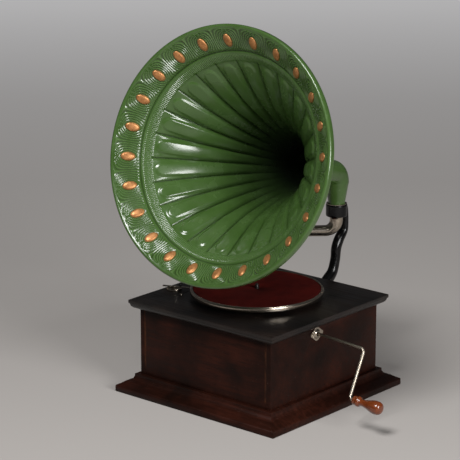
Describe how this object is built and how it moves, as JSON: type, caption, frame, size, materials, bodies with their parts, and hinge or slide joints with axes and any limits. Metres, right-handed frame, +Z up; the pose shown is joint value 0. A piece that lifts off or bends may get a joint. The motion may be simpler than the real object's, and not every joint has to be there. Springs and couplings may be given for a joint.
{
  "type": "horn gramophone",
  "caption": "Tabletop horn gramophone: square wooden case on a moulded plinth, felt-topped turntable, side winding crank, rear bracket, tone arm and large fluted horn.",
  "frame": {"origin": "centre of the case's underside, on the table", "axes": "+Z up; -Y towards the front of the case, where the horn's mouth opens; +X towards the crank's side"},
  "size_m": [0.5408, 0.5035, 0.7225],
  "materials": {
    "wood_case": "dark stained hardwood, satin varnish",
    "wood_top": "near-black stained top board, worn satin varnish",
    "wood_inside": "plain softwood, unfinished",
    "steel": "machined mild steel",
    "plate_steel": "rolled steel plate, oiled",
    "spring_steel": "blued spring steel",
    "brass": "machined brass",
    "nickel": "aged nickel plate",
    "felt": "dark red wool felt",
    "fibre": "brown laminated fibre",
    "leather": "brown leather",
    "handle_wood": "turned hardwood, red-brown polish",
    "black_iron": "black japanned cast iron",
    "knob_black": "black turned knob",
    "horn_green": "glossy green enamel on pressed sheet steel",
    "boss_copper": "copper-bronze metallic paint",
    "mica": "clear mica sheet",
    "rubber": "soft rubber ring"
  },
  "bodies": {
    "case": {"front_panel": "wood_case", "back_panel": "wood_case", "left_panel": "wood_case", "right_panel": "wood_case", "bottom_board": "wood_inside", "top_board": "wood_top", "plinth_mouldings": "wood_case", "corner_blocks": "wood_inside", "case_screws": "steel", "crank_escutcheon": "nickel", "escutcheon_screws": "steel", "motor_plate": "plate_steel", "lower_plate": "plate_steel", "motor_pillars": "steel", "motor_screws": "steel", "pawl_spring": "spring_steel", "governor_bearings": "brass", "brake_plate": "nickel", "bracket": "black_iron", "bracket_screws": "steel"},
    "turntable": {"turntable": "nickel", "felt_mat": "felt", "turntable_spindle": "steel", "fibre_wheel": "fibre"},
    "intermediate": {"intermediate_arbor": "steel", "intermediate_wheel": "brass"},
    "barrel": {"spring_barrel": "brass", "barrel_cover": "brass", "mainspring": "spring_steel"},
    "governor": {"governor_shaft": "steel", "governor_disc": "steel", "governor_springs": "spring_steel", "governor_weights": "brass"},
    "crank": {"crank_rod": "nickel", "winding_shaft": "steel", "winding_pinion": "brass"},
    "handle": {"crank_handle": "handle_wood"},
    "arbor": {"barrel_arbor": "steel", "arbor_gear": "brass", "ratchet_wheel": "steel"},
    "pawl": {"pawl": "steel"},
    "brake": {"brake_lever": "plate_steel", "brake_knob": "knob_black", "brake_pad": "leather"},
    "speed": {"speed_screw": "nickel"},
    "regulator": {"regulator_lever": "plate_steel", "regulator_pad": "leather"},
    "arm": {"tone_arm": "nickel"},
    "soundbox": {"soundbox_case": "nickel", "soundbox_ring": "nickel", "diaphragm": "mica", "gaskets": "rubber"},
    "stylus": {"stylus_bar": "nickel", "needle": "steel"},
    "needle_clamp": {"needle_screw": "nickel"},
    "horn": {"collar_ring": "nickel", "horn_elbow": "horn_green", "horn_neck": "horn_green", "horn_bell": "horn_green", "horn_rim": "horn_green", "horn_bosses": "boss_copper"}
  },
  "joints": [
    {"name": "turntable_spin", "type": "hinge", "parent": "case", "child": "turntable", "pos_m": [-0.005, 0, 0.19], "axis": [0, 0, -1], "continuous": true},
    {"name": "intermediate_spin", "type": "hinge", "parent": "case", "child": "intermediate", "pos_m": [0.01422, -0.02145, 0.1], "axis": [0, 0, -1], "continuous": true},
    {"name": "barrel_spin", "type": "hinge", "parent": "case", "child": "barrel", "pos_m": [0.062, -0.026, 0.117], "axis": [0, 0, -1], "continuous": true},
    {"name": "governor_spin", "type": "hinge", "parent": "case", "child": "governor", "pos_m": [-0.0255, 0, 0.1264], "axis": [0, 1, 0], "continuous": true},
    {"name": "crank_turn", "type": "hinge", "parent": "case", "child": "crank", "pos_m": [0.13, -0.026, 0.15], "axis": [-1, 0, 0], "continuous": true},
    {"name": "arbor_turn", "type": "hinge", "parent": "case", "child": "arbor", "pos_m": [0.062, -0.026, 0.13], "axis": [0, 0, -1], "continuous": true},
    {"name": "handle_spin", "type": "hinge", "parent": "crank", "child": "handle", "pos_m": [0.271, -0.06822, 0.06125], "axis": [0.9982, 0, -0.0593], "continuous": true},
    {"name": "pawl_lift", "type": "hinge", "parent": "case", "child": "pawl", "pos_m": [0.06227, -0.05291, 0.137], "axis": [0, 0, 1], "range_deg": [-5, 6], "stiffness_Nm_per_rad": 0.01},
    {"name": "brake_swing", "type": "hinge", "parent": "case", "child": "brake", "pos_m": [-0.155, -0.068, 0.187], "axis": [0, 0, 1], "range_deg": [0, 20]},
    {"name": "speed_turn", "type": "hinge", "parent": "case", "child": "speed", "pos_m": [-0.119, -0.088, 0.16], "axis": [0, 0, -1], "range_deg": [-60, 60]},
    {"name": "regulator_swing", "type": "hinge", "parent": "case", "child": "regulator", "pos_m": [-0.0755, 0.02, 0.152], "axis": [0, 0, 1], "range_deg": [-0.27, 0.27]},
    {"name": "arm_swing", "type": "hinge", "parent": "case", "child": "arm", "pos_m": [0, 0.236, 0.3], "axis": [0, 0, 1], "range_deg": [-20, 24]},
    {"name": "soundbox_turn", "type": "hinge", "parent": "arm", "child": "soundbox", "pos_m": [-0.14213, 0.05993, 0.2439], "axis": [0.7071, -0.7071, 0], "range_deg": [-100, 12]},
    {"name": "stylus_rock", "type": "hinge", "parent": "soundbox", "child": "stylus", "pos_m": [-0.13064, 0.04844, 0.2199], "axis": [-0.7071, -0.7071, 0], "range_deg": [-0.5, 0.5], "stiffness_Nm_per_rad": 0.2},
    {"name": "needle_screw_turn", "type": "hinge", "parent": "stylus", "child": "needle_clamp", "pos_m": [-0.13064, 0.04844, 0.2139], "axis": [0.7071, -0.7071, 0], "range_deg": [0, 170]},
    {"name": "horn_swivel", "type": "hinge", "parent": "case", "child": "horn", "pos_m": [0, 0.236, 0.315], "axis": [0, 0, 1], "range_deg": [-30, 30]}
  ],
  "couplings": [
    {"joint": "intermediate_spin", "follows": "turntable_spin", "ratio": -0.2},
    {"joint": "barrel_spin", "follows": "turntable_spin", "ratio": 0.028571},
    {"joint": "governor_spin", "follows": "turntable_spin", "ratio": -12},
    {"joint": "arbor_turn", "follows": "crank_turn", "ratio": 0.5},
    {"joint": "regulator_swing", "follows": "speed_turn", "ratio": 0.0045}
  ]
}
